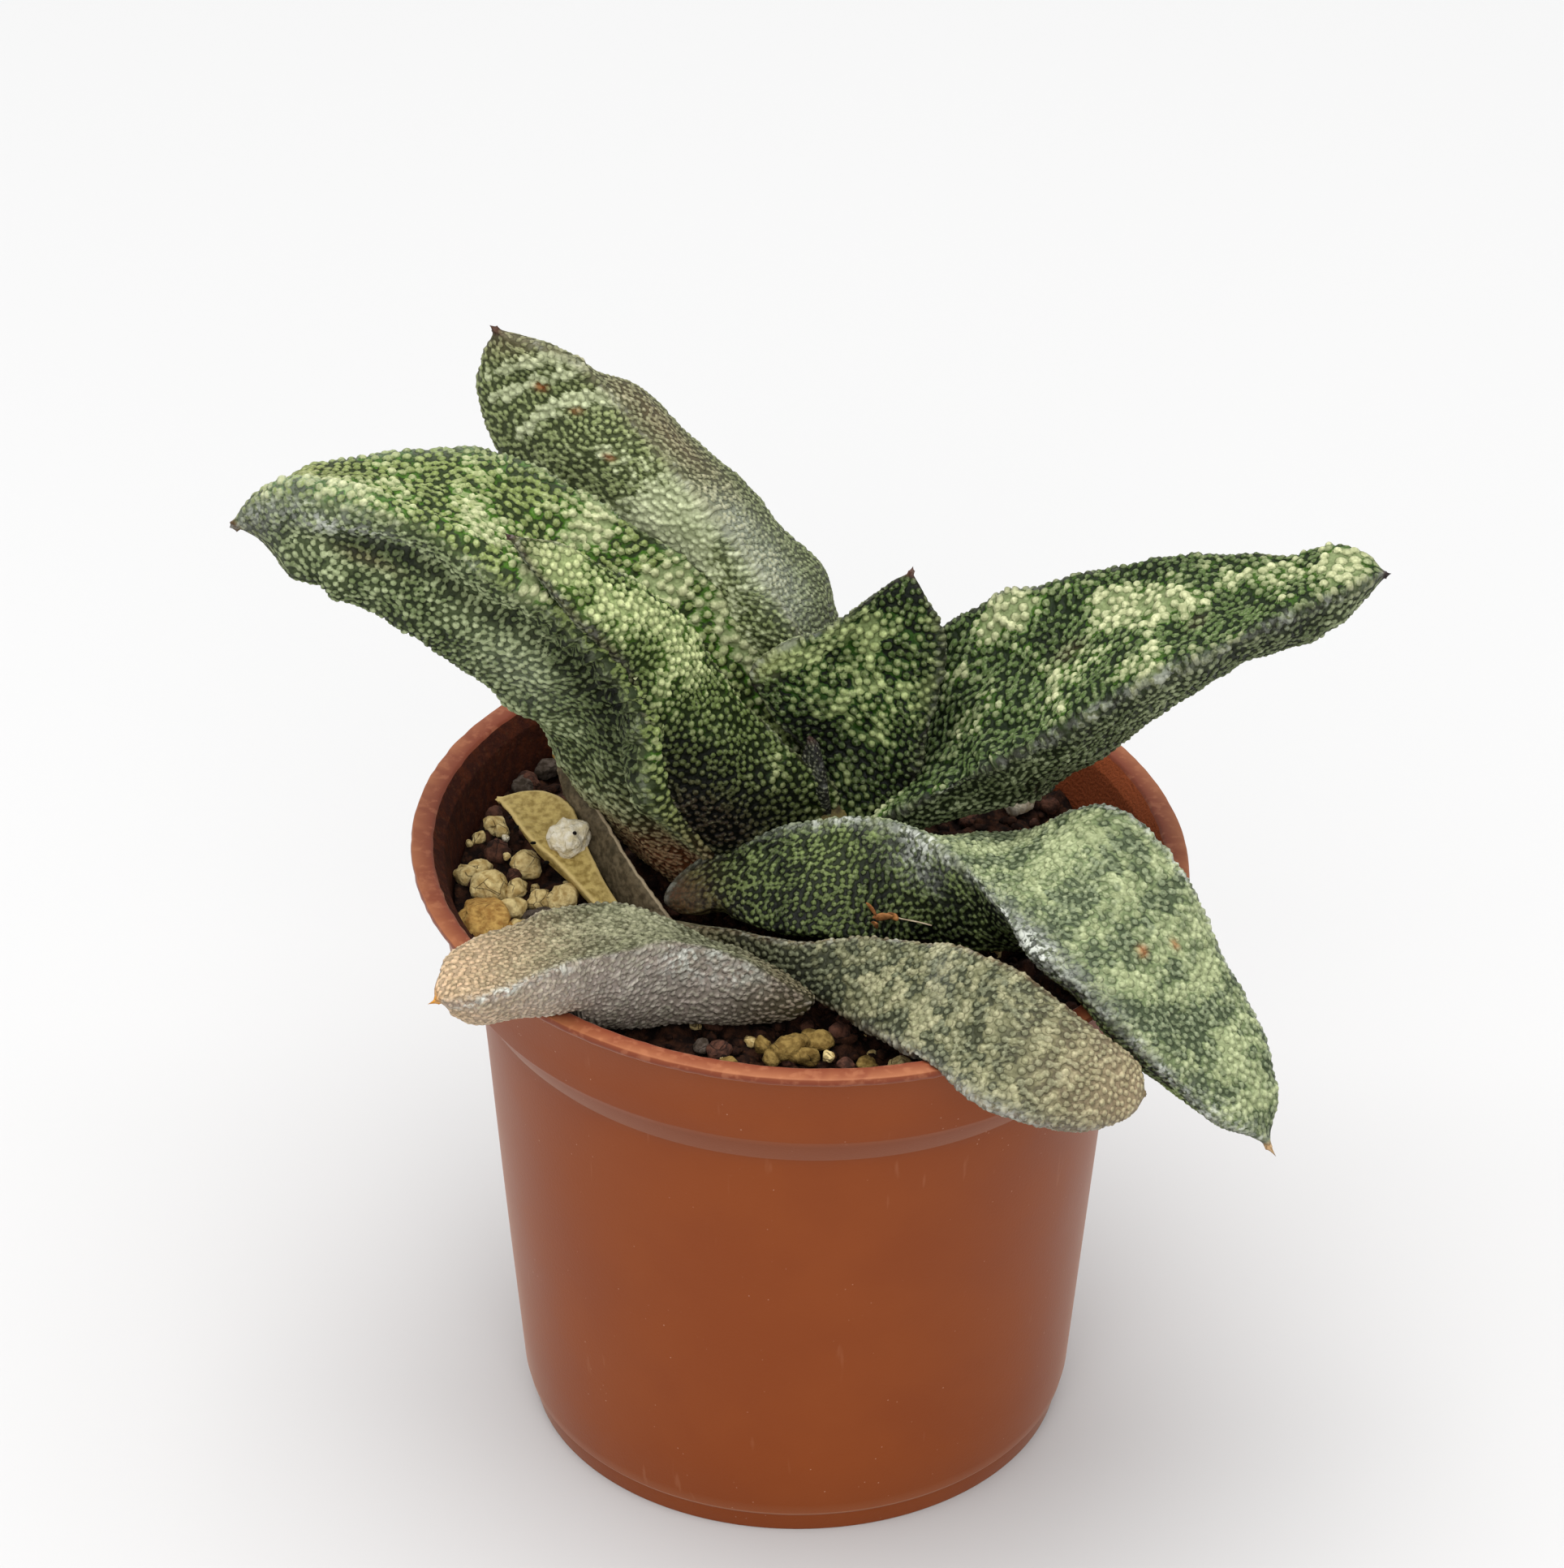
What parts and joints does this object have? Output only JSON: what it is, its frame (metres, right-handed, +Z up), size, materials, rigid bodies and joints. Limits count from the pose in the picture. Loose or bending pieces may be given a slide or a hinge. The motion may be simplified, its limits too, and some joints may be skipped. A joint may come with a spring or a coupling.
{
  "type": "potted gasteria succulent",
  "caption": "Gasteria with thick warty tongue-shaped leaves spreading over the rim of a round tapered plastic pot with a flared collar.",
  "frame": {"origin": "centre of the pot's base, on the surface it stands on", "axes": "+Z up; the front of the pot looks towards -Y"},
  "size_m": [0.1391, 0.1003, 0.1369],
  "materials": {
    "pot_plastic": "matte moulded terracotta-brown polypropylene with a fine grain",
    "soil": "loose dark bark and peat with pale pumice grains",
    "stem": "short fleshy stem",
    "leaf_green": "thick fleshy leaf, green with raised pale warts",
    "leaf_olive": "thick fleshy leaf, grey-olive with pale bands",
    "leaf_bronze": "thick fleshy leaf, yellow-green turning bronze",
    "leaf_dark": "tip of the youngest leaf, dark green",
    "leaf_pale": "thick fleshy leaf, pale green with dense warts",
    "leaf_silver": "thick fleshy leaf, silver-grey with a beige tip",
    "dry_leaf": "dead leaf, dry and cream coloured",
    "dry_sheath": "papery remnant of an old leaf base"
  },
  "bodies": {
    "root": {"pot": "pot_plastic", "substrate": "soil", "stem": "stem", "leaf_left": "leaf_green", "leaf_back_left": "leaf_olive", "leaf_left_inner": "leaf_bronze", "leaf_right": "leaf_green", "leaf_heart": "leaf_green", "leaf_bud": "leaf_dark", "leaf_front_right": "leaf_pale", "leaf_front": "leaf_bronze", "leaf_front_left": "leaf_silver", "dry_leaf": "dry_leaf", "dry_sheath": "dry_sheath"}
  },
  "joints": []
}
